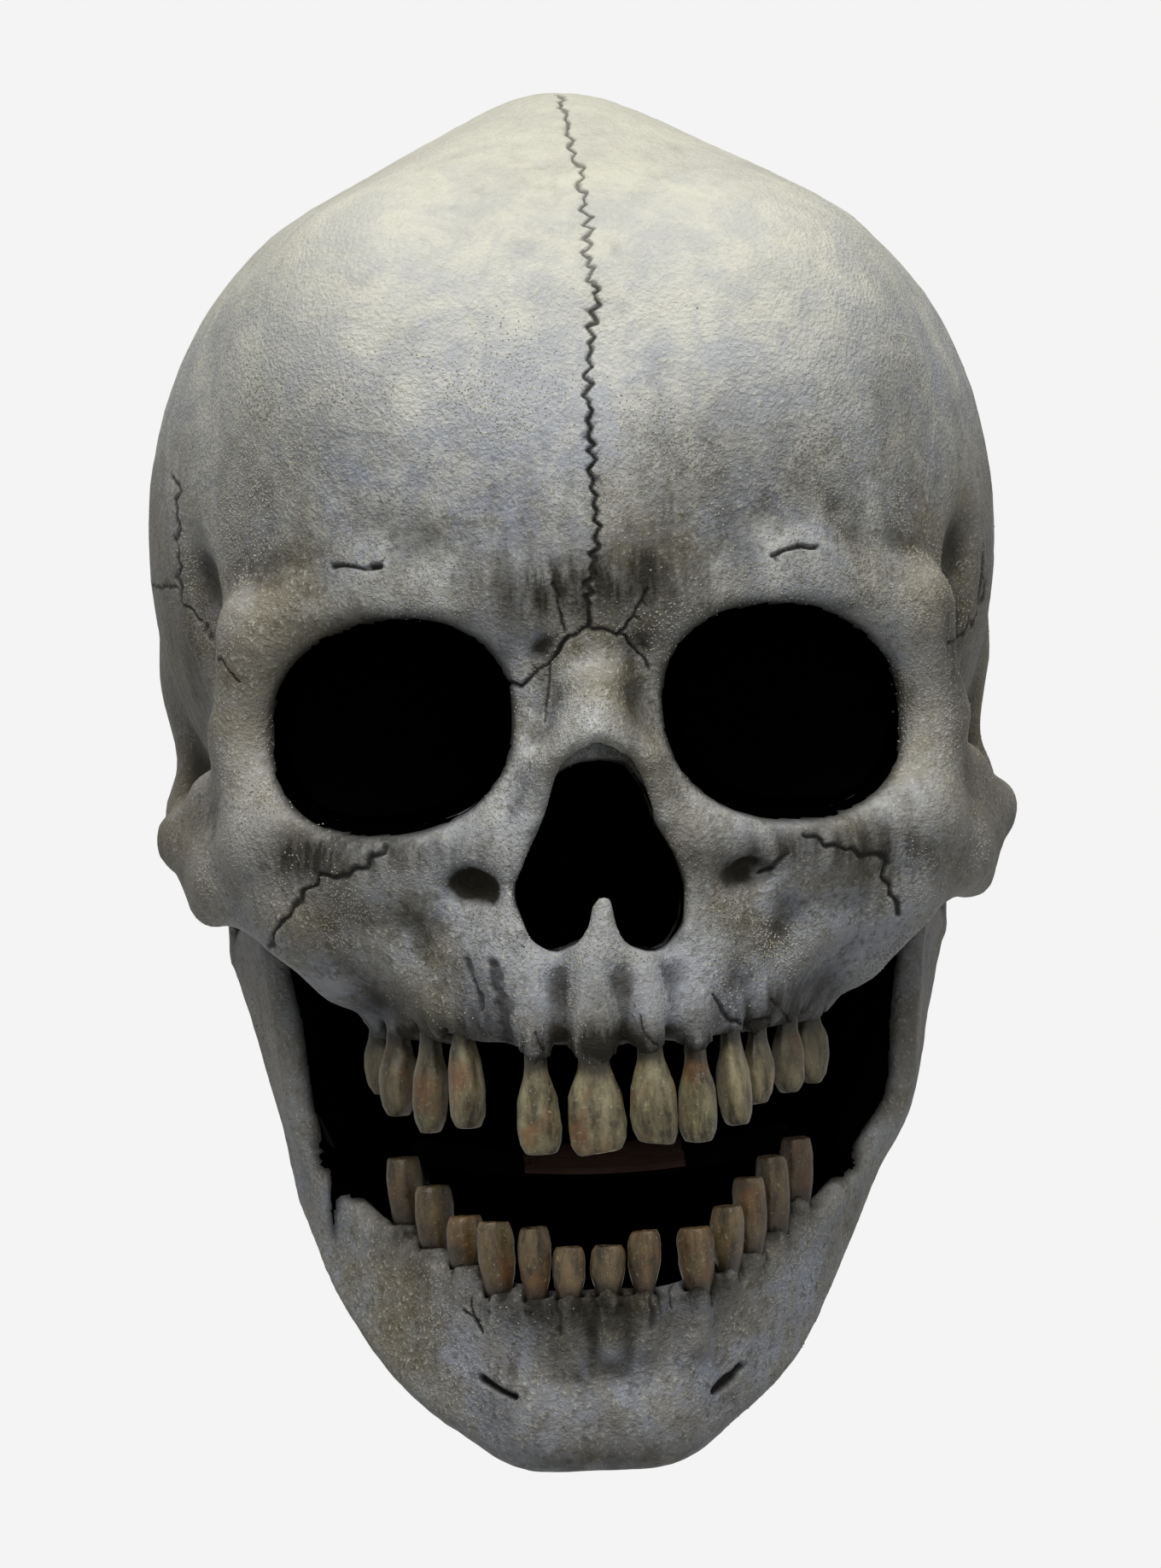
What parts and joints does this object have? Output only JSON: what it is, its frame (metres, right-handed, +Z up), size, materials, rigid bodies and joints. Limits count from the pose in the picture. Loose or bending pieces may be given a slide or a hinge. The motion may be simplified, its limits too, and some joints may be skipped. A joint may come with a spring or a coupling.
{
  "type": "halloween mask",
  "caption": "Full-head skull mask in painted latex, with hollow eyes and nose, loose-set worn teeth, and a hinged hanging jaw that a chin strap moves.",
  "frame": {"origin": "middle of the jaw's hinge axis, between the two hinge rivets", "axes": "+Z up towards the crown, -Y out of the face, +X towards the mask's own left, along the hinge axis"},
  "size_m": [0.2052, 0.263, 0.3205],
  "materials": {
    "skull_latex": "matt painted bone",
    "jaw_latex": "matt painted bone, darker",
    "tooth_latex": "stained, slightly glossy paint",
    "black_scrim": "fine black mesh",
    "steel": "dull plated",
    "nylon": "natural nylon",
    "brass": "dull brass",
    "black_plastic": "moulded",
    "elastic": "woven elastic",
    "webbing": "brown twill webbing",
    "foam": "open-cell foam",
    "cowl_cloth": "matt black stretch cloth"
  },
  "bodies": {
    "skull": {"skull_shell": "skull_latex", "upper_tooth_1": "tooth_latex", "upper_tooth_2": "tooth_latex", "upper_tooth_3": "tooth_latex", "upper_tooth_4": "tooth_latex", "upper_tooth_5": "tooth_latex", "upper_tooth_6": "tooth_latex", "upper_tooth_7": "tooth_latex", "upper_tooth_8": "tooth_latex", "upper_tooth_9": "tooth_latex", "upper_tooth_10": "tooth_latex", "upper_tooth_11": "tooth_latex", "upper_tooth_12": "tooth_latex", "left_eye_scrim": "black_scrim", "right_eye_scrim": "black_scrim", "nose_scrim": "black_scrim", "left_hinge_rivet": "steel", "right_hinge_rivet": "steel", "left_hinge_washer": "steel", "right_hinge_washer": "steel", "left_hinge_spacer": "nylon", "right_hinge_spacer": "nylon", "crown_pad": "foam", "forehead_pad": "foam", "left_temple_pad": "foam", "right_temple_pad": "foam", "neck_cowl": "cowl_cloth"},
    "jaw": {"jaw_shell": "jaw_latex", "lower_tooth_1": "tooth_latex", "lower_tooth_2": "tooth_latex", "lower_tooth_3": "tooth_latex", "lower_tooth_4": "tooth_latex", "lower_tooth_5": "tooth_latex", "lower_tooth_6": "tooth_latex", "lower_tooth_7": "tooth_latex", "lower_tooth_8": "tooth_latex", "lower_tooth_9": "tooth_latex", "lower_tooth_10": "tooth_latex", "lower_tooth_11": "tooth_latex", "lower_tooth_12": "tooth_latex", "lower_tooth_13": "tooth_latex", "left_jaw_eyelet": "brass", "right_jaw_eyelet": "brass", "elastic_band": "elastic", "chin_pad": "webbing", "left_strap_plate": "black_plastic", "right_strap_plate": "black_plastic", "left_strap_rivet_1": "steel", "right_strap_rivet_1": "steel", "left_strap_rivet_2": "steel", "right_strap_rivet_2": "steel"}
  },
  "joints": [
    {"name": "jaw_hinge", "type": "hinge", "parent": "skull", "child": "jaw", "pos_m": [0, 0, 0], "axis": [1, 0, 0], "range_deg": [-8, 6]}
  ]
}
